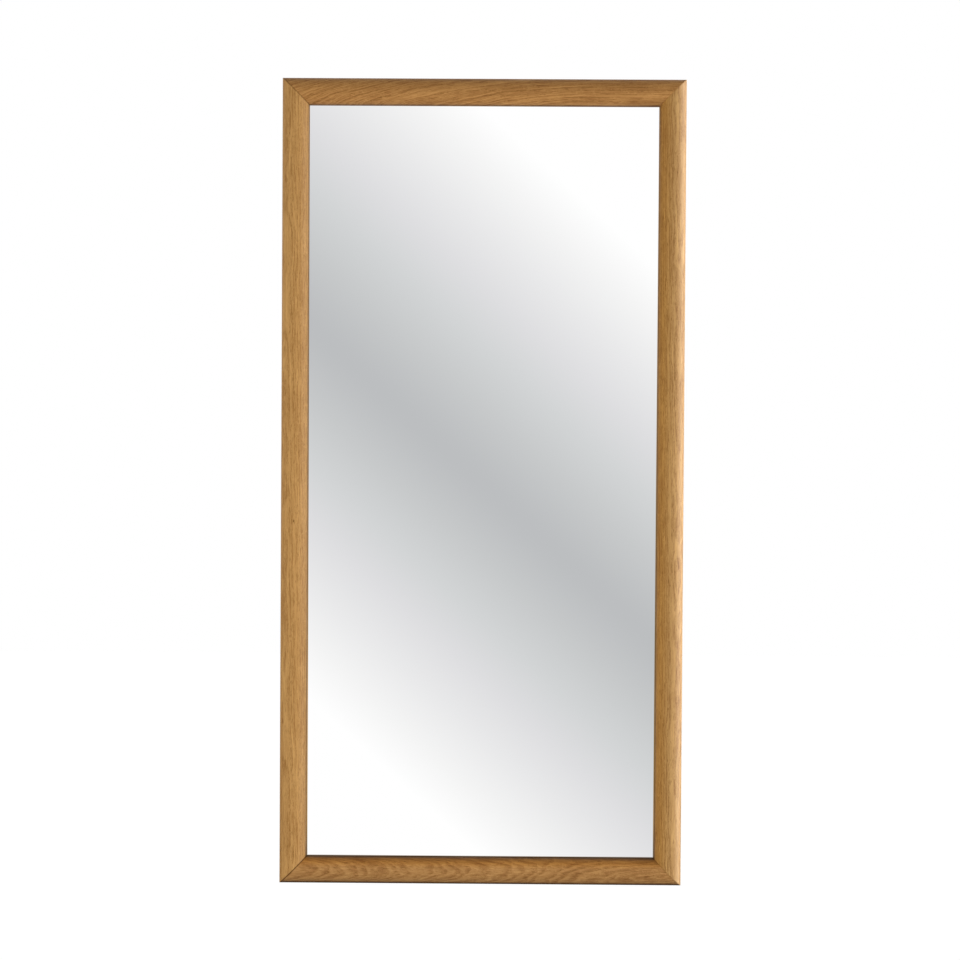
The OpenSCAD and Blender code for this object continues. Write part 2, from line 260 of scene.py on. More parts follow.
def longer(tree, vector, times):
    """A vector made this many times as long."""
    node = put(tree, "ShaderNodeVectorMath", {"operation": "SCALE"}, {0: vector, "Scale": times})
    return node.outputs["Vector"]


def axes(tree, vector):
    """A vector's three numbers."""
    return put(tree, "ShaderNodeSeparateXYZ", None, {0: vector}).outputs


def vector_of(tree, *numbers):
    """A vector made from its numbers."""
    return put(tree, "ShaderNodeCombineXYZ", None, dict(enumerate(numbers))).outputs[0]


def object_place(tree):
    """The place on the object, in metres."""
    return put(tree, "ShaderNodeTexCoord").outputs["Object"]


def in_mm(tree, place):
    """A place given in metres, in millimetres."""
    return vectors(tree, "MULTIPLY", place, (1 / MM, 1 / MM, 1 / MM))


def fade(tree, value, start, end, low=0.0, high=1.0):
    """Maps a value that goes from start to end onto low to high, softly and without overshoot."""
    return put(
        tree,
        "ShaderNodeMapRange",
        {"interpolation_type": "SMOOTHSTEP"},
        {0: value, 1: start, 2: end, 3: low, 4: high},
    ).outputs[0]


def blended(tree, share, first, second, how="MIX"):
    """Two colours mixed."""
    return put(
        tree,
        "ShaderNodeMix",
        {"data_type": "RGBA", "blend_type": how},
        {0: share, 6: first, 7: second},
    ).outputs[2]


def noise(tree, place, size, detail, rough):
    """Noise whose grains have this size along each axis, in the unit of place."""
    return put(
        tree,
        "ShaderNodeTexNoise",
        None,
        {
            "Vector": vectors(tree, "DIVIDE", place, size),
            "Scale": 1.0,
            "Detail": detail,
            "Roughness": rough,
        },
    )


def grains(tree, place, size, detail=2.0, rough=0.5):
    """A noise's value, from 0 to 1."""
    return noise(tree, place, size, detail, rough).outputs["Fac"]


def drift(tree, place, size):
    """A noise's swing to all sides, each from -0.5 to 0.5."""
    swing = noise(tree, place, size, 2.0, 0.5).outputs["Color"]
    return vectors(tree, "SUBTRACT", swing, (0.5, 0.5, 0.5))


def uneven_by(tree, value, swing, amount):
    """Adds a noise's swing about its middle, this many times, to a value."""
    return sums(tree, "ADD", value, sums(tree, "MULTIPLY_ADD", swing, amount, -amount / 2))


def new_group(name, inputs, outputs):
    """An empty node group: its tree, its input sockets and its output node."""
    tree = bpy.data.node_groups.new(name, "ShaderNodeTree")
    for label, kind in inputs:
        tree.interface.new_socket(label, in_out="INPUT", socket_type=f"NodeSocket{kind}")
    for label, kind in outputs:
        tree.interface.new_socket(label, in_out="OUTPUT", socket_type=f"NodeSocket{kind}")
    return tree, tree.nodes.new("NodeGroupInput").outputs, tree.nodes.new("NodeGroupOutput")


# How large each thing in the wood is, in millimetres: across, deep and along the grain
GRAIN_WAVE = (15, 15, 45)
RING_WANDER = (45, 45, 140)
RING_BREAK = (2.8, 2.8, 15)
FIBRE = (1.3, 1.3, 26)
STREAK = (2.6, 2.6, 34)
BROAD_STREAK = (5, 5, 120)
CLOUD = (26, 26, 60)
VESSEL = (0.3, 0.3, 4.5)
FLECK = (1.1, 1.1, 8)

# A ray's size outwards from the heart, along the ring and along the grain
RAY = (8, 1.4, 5)

# How far the grain waves to each side, how far apart wide and narrow years lie, and by how much
# they differ
WAVE_SWING = (4, 4, 0)
YEARS_ALIKE = 8
YEARS_UNEVEN = 2.6

# The pore band's share of a year: over which it rises, and over which it thins out again
BAND_RISE = (0.0, 0.15)
BAND_FALL = (0.25, 0.85)

# Between which values of its noise each small thing goes from nothing to all of itself
BREAK_EDGE = (0.4, 0.6)
VESSEL_EDGE = (0.58, 0.68)
FLECK_EDGE = (0.6, 0.72)
RAY_EDGE = (0.6, 0.72)

# How a pin knot's distances count across, deep and along, and between which of them it fades
KNOT_SHAPE = (1, 0.2, 0.6)
KNOT_EDGE = (0.5, 1.7)

# The wood's middle tone between pale and deep, and the lacquer's roughness over each
MIDDLE_TONE = 0.35
ROUGH_PALE = 0.42
ROUGH_DEEP = 0.55


def oak_wood():
    """Oak as it is all through a board. Place is in metres: X across, Y deep, Z along."""
    tree, given, out = new_group(
        "oak_wood",
        [
            ("Place", "Vector"),
            ("Heart", "Vector"),
            ("Lean", "Vector"),
            ("Bend", "Float"),
            ("Bend from", "Float"),
            ("Ring", "Float"),
            ("Wander", "Float"),
            ("Figure", "Float"),
            ("Knot", "Vector"),
            ("Pale", "Color"),
            ("Deep", "Color"),
            ("Pore", "Color"),
        ],
        [("Color", "Color"), ("Roughness", "Float"), ("Height", "Float")],
    )
    place = in_mm(tree, given["Place"])
    along = axes(tree, place)[2]

    # The grain runs a little off the board's length, more so towards one end, and it waves
    past = sums(tree, "MAXIMUM", sums(tree, "SUBTRACT", given["Bend from"], along), 0.0)
    bend = sums(tree, "MULTIPLY", sums(tree, "MULTIPLY", past, past), given["Bend"])
    wave = vectors(tree, "MULTIPLY", drift(tree, place, GRAIN_WAVE), WAVE_SWING)
    grain = vectors(tree, "ADD", place, longer(tree, given["Lean"], along))
    grain = vectors(tree, "ADD", grain, vector_of(tree, bend))
    grain = vectors(tree, "ADD", grain, wave)

    # Growth rings about the heart of the tree. Each begins with a band of wide pores
    wander = longer(tree, drift(tree, place, RING_WANDER), given["Wander"])
    from_heart = vectors(tree, "SUBTRACT", grain, given["Heart"])
    from_heart = vectors(tree, "ADD", from_heart, wander)
    from_heart = vectors(tree, "MULTIPLY", from_heart, (1, 1, 0))
    radius = vectors(tree, "LENGTH", from_heart)
    years = put(
        tree,
        "ShaderNodeTexNoise",
        {"noise_dimensions": "1D"},
        {"W": sums(tree, "DIVIDE", radius, YEARS_ALIKE), "Scale": 1.0, "Detail": 1.0},
    ).outputs["Fac"]
    year = uneven_by(tree, sums(tree, "DIVIDE", radius, given["Ring"]), years, YEARS_UNEVEN)
    year = sums(tree, "FRACT", year)
    fall = fade(tree, year, *BAND_FALL, 1.0, 0.0)
    band = sums(tree, "MULTIPLY", fade(tree, year, *BAND_RISE), fall)
    broken = fade(tree, grains(tree, grain, RING_BREAK), *BREAK_EDGE, 0.4, 1.0)
    figure = sums(tree, "MULTIPLY", sums(tree, "MULTIPLY", band, broken), given["Figure"])

    # Fibres, streaks and clouds along the grain
    fibre = grains(tree, grain, FIBRE, 3.0, 0.6)
    tone = uneven_by(tree, figure, fibre, 0.9)
    tone = uneven_by(tree, tone, grains(tree, grain, STREAK), 0.6)
    tone = uneven_by(tree, tone, grains(tree, grain, BROAD_STREAK), 0.4)
    tone = uneven_by(tree, tone, grains(tree, place, CLOUD), 0.5)
    tone = sums(tree, "ADD", tone, MIDDLE_TONE)
    wood = blended(tree, tone, given["Pale"], given["Deep"])

    # Pores: hair-fine slits, thickest in the bands, and here and there a darker fleck
    vessel = fade(tree, grains(tree, grain, VESSEL, 1.0), *VESSEL_EDGE)
    pores = sums(tree, "MULTIPLY", vessel, fade(tree, band, 0.05, 0.6, 0.25, 1.0))
    fleck = fade(tree, grains(tree, grain, FLECK, 1.0), *FLECK_EDGE)
    fleck = sums(tree, "MULTIPLY", fleck, 0.4)
    dark = sums(tree, "MAXIMUM", sums(tree, "MULTIPLY", pores, 0.6), fleck)
    wood = blended(tree, dark, wood, given["Pore"])

    # Rays: pale and shiny plates across the rings, seen as short flecks
    outward = vectors(tree, "NORMALIZE", from_heart)
    sideways = vectors(tree, "CROSS_PRODUCT", outward, (0, 0, 1))
    rays_at = vector_of(
        tree,
        vectors(tree, "DOT_PRODUCT", place, outward),
        vectors(tree, "DOT_PRODUCT", place, sideways),
        along,
    )
    ray = fade(tree, grains(tree, rays_at, RAY, 1.0), *RAY_EDGE)
    wood = blended(tree, sums(tree, "MULTIPLY", ray, 0.3), wood, given["Pale"])

    # A pin knot
    from_knot = vectors(tree, "SUBTRACT", grain, given["Knot"])
    from_knot = vectors(tree, "MULTIPLY", from_knot, KNOT_SHAPE)
    knot = fade(tree, vectors(tree, "LENGTH", from_knot), *KNOT_EDGE, 0.8, 0.0)
    wood = blended(tree, knot, wood, given["Pore"])

    tree.links.new(wood, out.inputs["Color"])
    rough = fade(tree, tone, 0.0, 1.0, ROUGH_PALE, ROUGH_DEEP)
    tree.links.new(rough, out.inputs["Roughness"])
    height = sums(tree, "SUBTRACT", sums(tree, "MULTIPLY", fibre, 0.5), pores)
    tree.links.new(height, out.inputs["Height"])
    return tree


# Between which places the mitre stain and the painted shades fade, in millimetres: from the mitre,
# from the sight edge outwards, above the frame's lowest edge, and across from the frame's middle
MITRE_LINE = (0.5, 1.7)
SIGHT_LINE = (0.7, 1.6)
BOTTOM_RAIL = (FACE_W / MM, 100)
FOOT_LINE = (1.5, 6.5)
RAIL_SHADE = (30.0, 39.5)
RAIL_SHADE_TINT = (25, 36)
STILE_SHADE_TINT = (263, 285)
GLASS_UP = (40, 1160)
ROUND_END = (SIDE_Y / MM - 4, SIDE_Y / MM + 1)

# The lip's painted reflection begins and is full at these places short of the sight edge, each
# given at the glass's foot and at its top
LIP_START = (-2.2, -0.8)
LIP_END = (-0.6, -0.1)

# The mitres are faintest at the upper right and darkest at the lower left
DARKER_TOWARDS = (-3.2, 0, -0.9)
DARKER = (-1000, 1500)
FAINTEST_MITRE = 0.1

# How dark the painted shade is along the sight edge on the other members and on the bottom rail,
# and how dark that rail's painted shade gets at its foot and towards the glass
SIGHT_DARK = (0.5, 0.6)
FOOT_DARK = 0.95
RAIL_DARK = 0.37


def joint_stain_and_painted_shade():
    """Dark glue lines in the mitres, with painted shade along the thin sight edge and on the bottom
    rail's slopes. One output tints the slopes towards the glass redder, as painted shade, and Lip
    is the lip's painted reflection in the glass beside the sight edge."""
    tree, given, out = new_group(
        "joint_stain_and_painted_shade",
        [("Place", "Vector")],
        [(label, "Float") for label in ("Mitre", "Sight", "Slopes", "Shade_tint", "Lip", "Low")],
    )
    place = in_mm(tree, given["Place"])
    spot = axes(tree, place)
    half = axes(tree, vectors(tree, "ABSOLUTE", place))
    across, up = half[0], half[2]
    from_foot = sums(tree, "ADD", spot[2], FRAME_H / 2 / MM)

    # The mitres. Past a mitre, a place lies on a rail, and before it on a stile
    past_mitre = sums(tree, "SUBTRACT", up, across)
    past_mitre = sums(tree, "SUBTRACT", past_mitre, (FRAME_H - FRAME_W) / 2 / MM)
    mitre = fade(tree, sums(tree, "ABSOLUTE", past_mitre), *MITRE_LINE, 1.0, 0.0)
    strength = vectors(tree, "DOT_PRODUCT", place, DARKER_TOWARDS)
    strength = fade(tree, strength, *DARKER, FAINTEST_MITRE, 1.0)
    tree.links.new(sums(tree, "MULTIPLY", mitre, strength), out.inputs["Mitre"])
    low = fade(tree, from_foot, *BOTTOM_RAIL, 1.0, 0.0)
    on_rail = sums(tree, "MULTIPLY", sums(tree, "GREATER_THAN", past_mitre, 0.0), low)
    on_right = fade(tree, spot[0], 0, 1)
    on_stile = sums(tree, "MULTIPLY", sums(tree, "LESS_THAN", past_mitre, 0.0), on_right)
    tree.links.new(low, out.inputs["Low"])

    # Painted shade along the sight edge next to the glass, a little darker on the bottom rail
    beyond_x = sums(tree, "SUBTRACT", across, (FRAME_W / 2 - FACE_W) / MM)
    beyond_z = sums(tree, "SUBTRACT", up, (FRAME_H / 2 - FACE_W) / MM)
    beyond = sums(tree, "MAXIMUM", beyond_x, beyond_z)
    sight = fade(tree, beyond, *SIGHT_LINE, 1.0, 0.0)
    sight = sums(tree, "MULTIPLY", sight, fade(tree, low, 0, 1, *SIGHT_DARK))
    tree.links.new(sight, out.inputs["Sight"])

    # Painted shade on the bottom rail's round face, along its lowest edge and towards the glass
    on_round = fade(tree, spot[1], *ROUND_END, 1.0, 0.0)
    foot = fade(tree, from_foot, *FOOT_LINE, FOOT_DARK, 0.0)
    foot = sums(tree, "MULTIPLY", foot, on_round)
    slopes = sums(tree, "MAXIMUM", foot, fade(tree, from_foot, *RAIL_SHADE, 0.0, RAIL_DARK))
    tree.links.new(sums(tree, "MULTIPLY", slopes, on_rail), out.inputs["Slopes"])

    # Painted shade: the bottom rail's and the right stile's slopes redder towards the glass
    rail_shade_tint = sums(tree, "MULTIPLY", fade(tree, from_foot, *RAIL_SHADE_TINT), on_rail)
    stile_shade_tint = fade(tree, across, *STILE_SHADE_TINT, 1.0, 0.0)
    stile_shade_tint = sums(tree, "MULTIPLY", stile_shade_tint, on_stile)
    tree.links.new(sums(tree, "MAXIMUM", rail_shade_tint, stile_shade_tint), out.inputs["Shade_tint"])

    # The lip's painted reflection in the glass, a line which is wider towards the bottom
    start = fade(tree, from_foot, *GLASS_UP, *LIP_START)
    end = fade(tree, from_foot, *GLASS_UP, *LIP_END)
    tree.links.new(fade(tree, beyond, start, end), out.inputs["Lip"])
    return tree


def plain_material(name, **sockets):
    """A material with its Principled shader's own numbers set. Gives it, its tree and shader."""
    made = bpy.data.materials.new(name)
    made.use_nodes = True
    shader = made.node_tree.nodes["Principled BSDF"]
    for socket, value in sockets.items():
        shader.inputs[socket.replace("_", " ")].default_value = value
    return made, made.node_tree, shader


def roughened(tree, shader, height, strength, depth):
    """Feeds a height to the shader's normal."""
    bump = put(
        tree, "ShaderNodeBump", None, {"Strength": strength, "Distance": depth, "Height": height}
    )
    tree.links.new(bump.outputs[0], shader.inputs["Normal"])


PORE_COLOUR = colour("#5a3512")
MITRE_COLOUR = colour("#4a290d")
# Painted shade: a tint multiplied into the slopes that face the glass
PAINTED_SHADE_TINT = colour("#ffefc8")
# Painted shade: the dark brown along the sight edge and on the bottom rail's foot and slopes
PAINTED_SHADE_COLOUR = colour("#2c1806")


def oak_material(name, centre, turn, pale, deep, **figure):
    """Oak for one member: centre and turn lay the wood's own axes along it."""
    made, tree, shader = plain_material(name, Specular_IOR_Level=0.1)
    where = object_place(tree)
    laid = put(
        tree,
        "ShaderNodeMapping",
        {"vector_type": "TEXTURE"},
        {"Vector": where, "Location": centre, "Rotation": turn},
    ).outputs[0]
    given = {"Place": laid, "Pale": colour(pale), "Deep": colour(deep), "Pore": PORE_COLOUR}
    given |= {key.replace("_", " "): value for key, value in figure.items()}
    wood = put(tree, "ShaderNodeGroup", {"node_tree": oak_wood_group}, given).outputs
    stain_and_painted_shade = put(
        tree, "ShaderNodeGroup", {"node_tree": joint_stain_and_painted_shade_group}, {"Place": where}
    ).outputs
    # Dark glue lines at the mitres, then painted shade on the slopes and along the sight edge
    mitre = sums(tree, "MULTIPLY", stain_and_painted_shade["Mitre"], 0.8)
    sight = sums(tree, "MULTIPLY", stain_and_painted_shade["Sight"], 0.85)
    tone = blended(tree, mitre, wood["Color"], MITRE_COLOUR)
    tone = blended(tree, stain_and_painted_shade["Shade_tint"], tone, PAINTED_SHADE_TINT, "MULTIPLY")
    tone = blended(tree, stain_and_painted_shade["Slopes"], tone, PAINTED_SHADE_COLOUR)
    tone = blended(tree, sight, tone, PAINTED_SHADE_COLOUR)
    tree.links.new(tone, shader.inputs["Base Color"])
    tree.links.new(wood["Roughness"], shader.inputs["Roughness"])
    roughened(tree, shader, wood["Height"], 0.25, 0.1 * MM)
    return made


oak_wood_group = oak_wood()
joint_stain_and_painted_shade_group = joint_stain_and_painted_shade()
STILE_X = FRAME_W / 2 - FACE_W / 2
RAIL_Z = FRAME_H / 2 - FACE_W / 2
UPRIGHT = (0, 0, 0)
LENGTHWISE = (0, math.pi / 2, 0)
NO_KNOT = (0, 0, 9000)

# Each length is cut from its own board. Heart and Knot are places in it. The grain leans by Lean
# for each millimetre along the board, and bends away before Bend from. Ring is a year's width,
# Wander how far the rings stray, and Figure how strongly they show. Lengths are in millimetres.
# Their pale and deep tones differ partly as boards do and partly as painted light: the stiles are
# paler in place of the sheen that their upright grain takes from the side lamps.
oak = {
    "oak_left_stile": oak_material(
        "oak_left_stile",
        centre=(-STILE_X, 0, 0),
        turn=UPRIGHT,
        pale="#c5995d",
        deep="#8a5e2f",
        Heart=(48, 40, 0),
        Lean=(0.006, 0.01, 0),
        Ring=2.6,
        Wander=9,
        Figure=0.3,
        Knot=(0.5, -34, -58),
    ),
    "oak_right_stile": oak_material(
        "oak_right_stile",
        centre=(STILE_X, 0, 0.4),
        turn=UPRIGHT,
        pale="#bc955e",
        deep="#825b32",
        Heart=(-50, 45, 0),
        Lean=(0.008, -0.006, 0),
        Ring=2.6,
        Wander=9,
        Figure=0.35,
        Knot=NO_KNOT,
    ),
    "oak_top_rail": oak_material(
        "oak_top_rail",
        centre=(0.1, 0, RAIL_Z),
        turn=LENGTHWISE,
        pale="#ba8a51",
        deep="#7c5128",
        Heart=(-230, -8, 0),
        Lean=(0.01, 0.0, 0),
        Bend=-0.0004,
        Bend_from=70,
        Ring=3.2,
        Wander=8,
        Figure=0.4,
        Knot=NO_KNOT,
    ),
    "oak_bottom_rail": oak_material(
        "oak_bottom_rail",
        centre=(0.02, 0, -RAIL_Z),
        turn=LENGTHWISE,
        pale="#b98c55",
        deep="#764b25",
        Heart=(4, 5, 0),
        Lean=(0.0, 0.15, 0),
        Ring=3.3,
        Wander=12,
        Figure=0.33,
        Knot=NO_KNOT,
    ),
}
for member in (left_stile, right_stile, top_rail, bottom_rail):
    member.data.materials.clear()
    member.data.materials.append(oak[member.name])


# ---- Corner biscuits
# Pressed beech biscuits, glued into slots across each mitre. They swell with the glue and lie
# out of sight inside the wood.
def dress(names, made):
    """Gives CAD nodes a material."""
    for name in names:
        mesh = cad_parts[name].data
        mesh.materials.clear()
        mesh.materials.append(made)


def two_tone(tree, value, start, end, first, second):
    """One colour that runs into another as a value goes from start to end."""
    return blended(tree, fade(tree, value, start, end), colour(first), colour(second))


CORNERS = ("top_left", "top_right", "bottom_right", "bottom_left")
BEECH_FLECK = (0.5, 0.5, 2.4)
beech, beech_tree, beech_shader = plain_material("beech", Roughness=0.7)
beech_fleck = grains(beech_tree, in_mm(beech_tree, object_place(beech_tree)), BEECH_FLECK)
beech_tone = two_tone(beech_tree, beech_fleck, 0.35, 0.7, "#dcc29a", "#b08c60")
beech_tree.links.new(beech_tone, beech_shader.inputs["Base Color"])
roughened(beech_tree, beech_shader, beech_fleck, 0.3, 0.1 * MM)
dress([f"corner_biscuit_{corner}" for corner in CORNERS], beech)


# ---- V-nails
# Strips of hardened steel bent to a V. Two are pressed into the back of each mitre and pull it
# tight while the glue sets.
METAL_CLOUD = (5, 5, 5)
SCRATCH = (0.12, 0.12, 3.0)


def steel_wear():
    """Rubbed and clouded metal: a tint for its colour, its roughness and fine scratches."""
    tree, given, out = new_group(
        "steel_wear",
        [
            ("Place", "Vector"),
            ("Bright", "Color"),
            ("Dull", "Color"),
            ("Smooth", "Float"),
            ("Rough", "Float"),
        ],
        [("Color", "Color"), ("Roughness", "Float"), ("Height", "Float")],
    )
    place = in_mm(tree, given["Place"])
    cloud = fade(tree, grains(tree, place, METAL_CLOUD, 4.0, 0.6), 0.35, 0.65)
    scratch = fade(tree, grains(tree, place, SCRATCH), 0.6, 0.75)
    tree.links.new(blended(tree, cloud, given["Bright"], given["Dull"]), out.inputs["Color"])
    rough = put(
        tree,
        "ShaderNodeMapRange",
        None,
        {0: sums(tree, "MAXIMUM", cloud, scratch), 3: given["Smooth"], 4: given["Rough"]},
    )
    tree.links.new(rough.outputs[0], out.inputs["Roughness"])
    tree.links.new(scratch, out.inputs["Height"])
    return tree


steel_wear_group = steel_wear()


def metal(name, bright, dull, smooth, rough):
    """A metal with its own two tones and range of roughness."""
    made, tree, shader = plain_material(name, Metallic=1.0)
    given = {"Bright": colour(bright), "Dull": colour(dull), "Smooth": smooth, "Rough": rough}
    given["Place"] = object_place(tree)
    wear = put(tree, "ShaderNodeGroup", {"node_tree": steel_wear_group}, given).outputs
    tree.links.new(wear["Color"], shader.inputs["Base Color"])
    tree.links.new(wear["Roughness"], shader.inputs["Roughness"])
    roughened(tree, shader, wear["Height"], 0.2, 0.02 * MM)
    return made


dress(["corner_v_nails"], metal("nail_steel", "#8d9094", "#6b6d70", 0.35, 0.55))


# ---- Glass tape
# Thin dark felt tape, stuck behind the lip along all four sides. It keeps the glass from
# rattling against the wood.
SIDES = ("top", "right", "bottom", "left")
FUZZ = (0.15, 0.15, 0.15)
felt, felt_tree, felt_shader = plain_material("felt_tape", Roughness=0.95)
felt_fuzz = grains(felt_tree, in_mm(felt_tree, object_place(felt_tree)), FUZZ, 3.0, 0.7)
felt_tone = two_tone(felt_tree, felt_fuzz, 0.3, 0.7, "#2a211a", "#4a3d32")
felt_tree.links.new(felt_tone, felt_shader.inputs["Base Color"])
roughened(felt_tree, felt_shader, felt_fuzz, 0.6, 0.1 * MM)
dress([f"glass_tape_{side}" for side in SIDES], felt)


# ---- The mirror glass
# Float glass, 4 mm thick, silvered on its back under a coat of grey paint. Its ground edges are
# green and lie in the rebate.
PAINT_CLOUD = (40, 40, 40)
EDGE_GREEN = colour("#7fa894")
SILVERING = colour("#f7f7f7")
# Colours of the lip's painted reflection in the glass, beside the bottom rail and beside the rest
LIP_REFLECTION_BOTTOM = colour("#6b4d1f")
LIP_REFLECTION_OTHERS = colour("#ab8237")
EDGE_ROUGH = 0.35

mirror, mirror_tree, mirror_shader = plain_material("mirror_glass")
mirror_place = object_place(mirror_tree)
facing = put(mirror_tree, "ShaderNodeNewGeometry").outputs["Normal"]
facing = axes(mirror_tree, facing)[1]
silvered = sums(mirror_tree, "LESS_THAN", facing, -0.5)
painted = sums(mirror_tree, "GREATER_THAN", facing, 0.5)
paint = grains(mirror_tree, in_mm(mirror_tree, mirror_place), PAINT_CLOUD, 3.0)
paint = two_tone(mirror_tree, paint, 0.3, 0.7, "#6f7678", "#5f6669")
mirror_tone = blended(mirror_tree, silvered, EDGE_GREEN, SILVERING)
mirror_tone = blended(mirror_tree, painted, mirror_tone, paint)
# Painted reflection: the lip's mirrored line is laid into the glass's colour beside the sight edge
beside_lip = put(
    mirror_tree, "ShaderNodeGroup", {"node_tree": joint_stain_and_painted_shade_group}, {"Place": mirror_place}
).outputs
lip_reflection_tone = blended(mirror_tree, beside_lip["Low"], LIP_REFLECTION_OTHERS, LIP_REFLECTION_BOTTOM)
painted_lip_reflection = sums(mirror_tree, "MULTIPLY", beside_lip["Lip"], silvered)
mirror_tone = blended(mirror_tree, painted_lip_reflection, mirror_tone, lip_reflection_tone)
mirror_rough = fade(mirror_tree, silvered, 0.0, 1.0, EDGE_ROUGH, 0.0)
mirror_tree.links.new(mirror_tone, mirror_shader.inputs["Base Color"])
mirror_tree.links.new(silvered, mirror_shader.inputs["Metallic"])
mirror_tree.links.new(mirror_rough, mirror_shader.inputs["Roughness"])
dress(["mirror_glass"], mirror)


# ---- Edge blocks
# Soft rubber blocks, two in each side of the rebate. They keep the glass off the wood and in the
# middle of its rebate.
BLOOM = (2.2, 2.2, 2.2)
RUBBER_SKIN = (0.25, 0.25, 0.25)


def rubber(name, dark, light, rough):
    """Moulded rubber with a dusty bloom."""
    made, tree, shader = plain_material(name, Roughness=rough)
    place = in_mm(tree, object_place(tree))
    tone = two_tone(tree, grains(tree, place, BLOOM, 4.0, 0.6), 0.35, 0.75, dark, light)
    tree.links.new(tone, shader.inputs["Base Color"])
    roughened(tree, shader, grains(tree, place, RUBBER_SKIN), 0.3, 0.05 * MM)
    return made


dress(["glass_edge_blocks"], rubber("block_rubber", "#3a3a3b", "#505052", 0.8))


# ---- The backing board
# Hardboard, 3 mm thick: pressed brown fibres, with the imprint of the press's wire mesh on the
# side that shows behind. It lies in the rebate and is held by the turn buttons.
PULP = (1.1, 1.1, 1.1)
STAIN_CLOUD = (80, 80, 80)
SHIVE = (3.0, 3.0, 0.5)

# By how many radians the wire mesh's wave turns in each millimetre
WIRE_WAVE = (3.9, 3.9, 3.9)

board, board_tree, board_shader = plain_material("hardboard", Roughness=0.72)
board_at = in_mm(board_tree, object_place(board_tree))
pulp = grains(board_tree, board_at, PULP, 4.0, 0.65)
stained = fade(board_tree, grains(board_tree, board_at, STAIN_CLOUD, 3.0), 0.3, 0.7, 0.0, 0.15)
shive = fade(board_tree, grains(board_tree, board_at, SHIVE), 0.66, 0.74, 0.0, 0.6)
board_tone = two_tone(board_tree, pulp, 0.3, 0.7, "#8b6845", "#6f5034")
board_tone = blended(board_tree, stained, board_tone, colour("#a07c55"))
board_tone = blended(board_tree, shive, board_tone, colour("#4a3320"))
board_tree.links.new(board_tone, board_shader.inputs["Base Color"])
wire_at = axes(board_tree, vectors(board_tree, "MULTIPLY", board_at, WIRE_WAVE))
weave = sums(board_tree, "SINE", wire_at[0])
weave = sums(board_tree, "MULTIPLY", weave, sums(board_tree, "SINE", wire_at[2]))
roughened(board_tree, board_shader, sums(board_tree, "ADD", weave, pulp), 0.35, 0.1 * MM)
dress(["backing_board"], board)


# ---- Turn buttons
# Stamped from zinc-plated steel. Each turns about one brassed pan-head screw in the back of the
# frame and laps over the board.
BUTTON_PLACES = (
    "left_top",
    "left_middle",
    "left_bottom",
    "right_top",
    "right_middle",
    "right_bottom",
    "top",
    "bottom",
)
zinc_steel = metal("zinc_steel", "#c3c8cc", "#a5abb1", 0.25, 0.45)
screw_brass = metal("screw_brass", "#cfae62", "#b08f4c", 0.22, 0.4)
dress([f"turn_button_{place}" for place in BUTTON_PLACES], zinc_steel)
dress(["turn_button_screws"], screw_brass)


# ---- Hangers
# A stamped steel strap on each member, held by two brassed pan-head screws, with a D ring of
# polished steel wire that swings in the strap's knuckle.
hanger_steel = metal("hanger_steel", "#bfc3c6", "#a2a7ac", 0.28, 0.45)
ring_steel = metal("ring_steel", "#c9cdd0", "#adb2b7", 0.18, 0.35)
dress([f"hanger_plate_{side}" for side in SIDES], hanger_steel)
dress([f"hanger_ring_{side}" for side in SIDES], ring_steel)
dress(["hanger_screws"], screw_brass)


# ---- Wall bumpers
# Black rubber discs stuck to the back near the corners. They stand the frame off the wall and
# keep it from sliding.
bumper_rubber = rubber("bumper_rubber", "#1b1b1c", "#303032", 0.7)
dress([f"wall_bumper_{corner}" for corner in CORNERS], bumper_rubber)


# ---- The studio
# A pale floor well below the mirror, white all round, and soft lamps in front, beside, above and
# behind, strongest at the left front and beside the right stile. A shaded white card behind the
# camera is what the glass shows. Lengths are in metres.
FLOOR_Z = -2.2
FLOOR_SIZE = 40
FLOOR_GREY = (0.16, 0.16, 0.16, 1)
FLOOR_GLOW = 0.93
GLOW_SPREAD = (1.5, 4)
DARK_GLINT = (0.1, 0.1, 0.1, 1)
CARD_Y = -4.3
CARD_W = 16.0
CARD_H = 5.65
CARD_FOOT = -1.4
AMBIENT = 0.075
WHITE = (1, 1, 1, 1)

# The silvering gives back this share of the light, so what it mirrors is made brighter by it
SILVER = 0.93

# The card is darkest along one slanting line and gets paler evenly on both sides of it. Where the
# line lies, and half of the shade's width, follow from where the glass shows them. The way across
# the shade leads 37 to the right for each 41 up.
GLASS_Y = -13.3 * MM
GLASS_AWAY = GLASS_Y - CAMERA_PLACE[1]
CARD_SPREAD = (GLASS_AWAY + GLASS_Y - CARD_Y) / GLASS_AWAY
DARK_ON_GLASS = Vector((0.002, 0, -0.003))
SHADE_ON_GLASS = 0.39
SHADE_HALF = SHADE_ON_GLASS * CARD_SPREAD
SHADE_SLANT = math.atan2(37, 41)

# In halves of the shade's width: how softly its dark line is rounded, where it turns back, and
# how far the ramp of greys reaches. The ramp's darkest grey is in levels of 255
SHADE_SOFT = 0.06
SHADE_TURNS = 1.6
RAMP_REACH = 2
SHADE_DARK = (188, 190, 192)
SHADE_STEPS = 6
camera_flat = Vector((CAMERA_PLACE[0], 0, CAMERA_PLACE[2]))
dark_at = camera_flat + (DARK_ON_GLASS - camera_flat) * CARD_SPREAD


